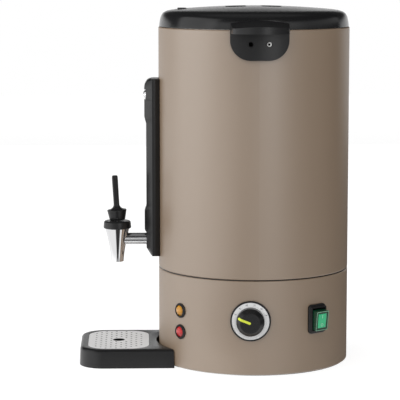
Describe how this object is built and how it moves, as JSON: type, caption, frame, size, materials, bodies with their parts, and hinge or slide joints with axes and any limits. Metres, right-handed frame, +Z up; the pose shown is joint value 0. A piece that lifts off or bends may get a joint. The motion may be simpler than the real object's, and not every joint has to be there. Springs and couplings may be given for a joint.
{
  "type": "hot water urn",
  "caption": "Tall round hot water urn with a lever tap and level gauge over a drip tray, side handles, a bayonet lid, a thermostat knob, a rocker switch and lamps.",
  "frame": {"origin": "on the floor, on the vertical axis of the round body", "axes": "+Z up, -Y to the front where the tap and the drip tray are, +X to the side with the dial, lamps and switch"},
  "size_m": [0.357, 0.3804, 0.5017],
  "materials": {
    "taupe_paint": "satin taupe paint on sheet steel",
    "black_plastic": "satin black moulded plastic",
    "stainless": "plain stainless steel",
    "plated_steel": "zinc plated",
    "chrome": "polished chrome",
    "aluminium": "cast and milled",
    "brass": "plain brass and copper",
    "rubber": "black rubber",
    "silicone": "pale silicone",
    "white_plastic": "pale plastic and ceramic",
    "yellow_plastic": "yellow-green inlay",
    "amber_plastic": "amber lens",
    "red_plastic": "red lens",
    "green_plastic": "translucent green",
    "clear_tube": "clear tube",
    "wire_cover": "wire insulation"
  },
  "bodies": {
    "root": {"base_housing": "taupe_paint", "base_plate": "plated_steel", "rubber_feet": "rubber", "foot_screws": "plated_steel", "tie_rods": "plated_steel", "tie_nuts": "plated_steel", "joining_ring": "black_plastic", "outer_jacket": "taupe_paint", "jacket_nuts": "plated_steel", "inner_vessel": "stainless", "mouth_ring": "black_plastic", "heater_plate": "aluminium", "heating_element": "plated_steel", "thermal_cutout": "black_plastic", "thermostat_body": "black_plastic", "thermostat_nut": "plated_steel", "thermostat_bulb": "brass", "terminal_block": "white_plastic", "wiring": "wire_cover", "cord_gland": "black_plastic", "gland_cap": "black_plastic", "gland_nut": "black_plastic", "dial_rim": "black_plastic", "dial_face": "white_plastic", "lamp_bezels": "black_plastic", "amber_lens": "amber_plastic", "red_lens": "red_plastic", "lamp_bodies": "white_plastic", "lamp_nuts": "plated_steel", "switch_frame": "black_plastic", "switch_body": "black_plastic", "handle_right": "black_plastic", "handle_left": "black_plastic", "handle_screws": "plated_steel", "gauge_column": "black_plastic", "gauge_tube": "clear_tube", "gauge_lower_seat": "silicone", "gauge_upper_seat": "silicone", "gauge_manifold": "brass", "column_screw": "chrome", "tap_shank": "chrome", "shank_nut": "plated_steel", "shank_seals": "rubber", "tap_body": "chrome", "tap_bonnet": "black_plastic"},
    "lid_carrier": {"lid_seal": "silicone"},
    "lid": {"lid_shell": "black_plastic", "lid_pan": "black_plastic", "steam_vent": "black_plastic"},
    "valve": {"tap_stem": "stainless", "seat_cup": "silicone", "tap_spring": "stainless"},
    "lever": {"tap_lever": "black_plastic", "lever_pin": "stainless"},
    "thermostat_knob": {"knob": "black_plastic", "knob_pointer": "yellow_plastic", "thermostat_shaft": "plated_steel"},
    "switch_rocker": {"rocker": "green_plastic"},
    "tray": {"drip_tray": "black_plastic"},
    "grid": {"drip_grid": "stainless"}
  },
  "joints": [
    {"name": "lid_lift", "type": "slide", "parent": "root", "child": "lid_carrier", "axis": [0, 0, 1], "range_m": [0, 0.12]},
    {"name": "lid_turn", "type": "hinge", "parent": "lid_carrier", "child": "lid", "pos_m": [0, 0, 0.4725], "axis": [0, 0, 1], "range_deg": [-30, 0]},
    {"name": "tap_stem_lift", "type": "slide", "parent": "root", "child": "valve", "axis": [0, 0, 1], "range_m": [0, 0.0042], "deforming": ["tap_spring"]},
    {"name": "tap_lever_tilt", "type": "hinge", "parent": "valve", "child": "lever", "pos_m": [0, -0.193, 0.2038], "axis": [1, 0, 0], "range_deg": [0, 30], "stiffness_Nm_per_rad": 0.6},
    {"name": "knob_turn", "type": "hinge", "parent": "root", "child": "thermostat_knob", "pos_m": [0.13355, -0.01098, 0.0785], "axis": [0.9966, -0.0819, 0], "range_deg": [-190, 80]},
    {"name": "rocker_tilt", "type": "hinge", "parent": "root", "child": "switch_rocker", "pos_m": [0.10434, 0.0792, 0.0764], "axis": [0.6046, -0.7965, 0], "range_deg": [0, 13]},
    {"name": "tray_pull", "type": "slide", "parent": "root", "child": "tray", "axis": [0, -1, 0], "range_m": [0, 0.16]},
    {"name": "grid_lift", "type": "slide", "parent": "tray", "child": "grid", "axis": [0, 0, 1], "range_m": [0, 0.05]}
  ],
  "couplings": [
    {"joint": "tap_stem_lift", "follows": "tap_lever_tilt", "m_per_rad": 0.0080214}
  ]
}
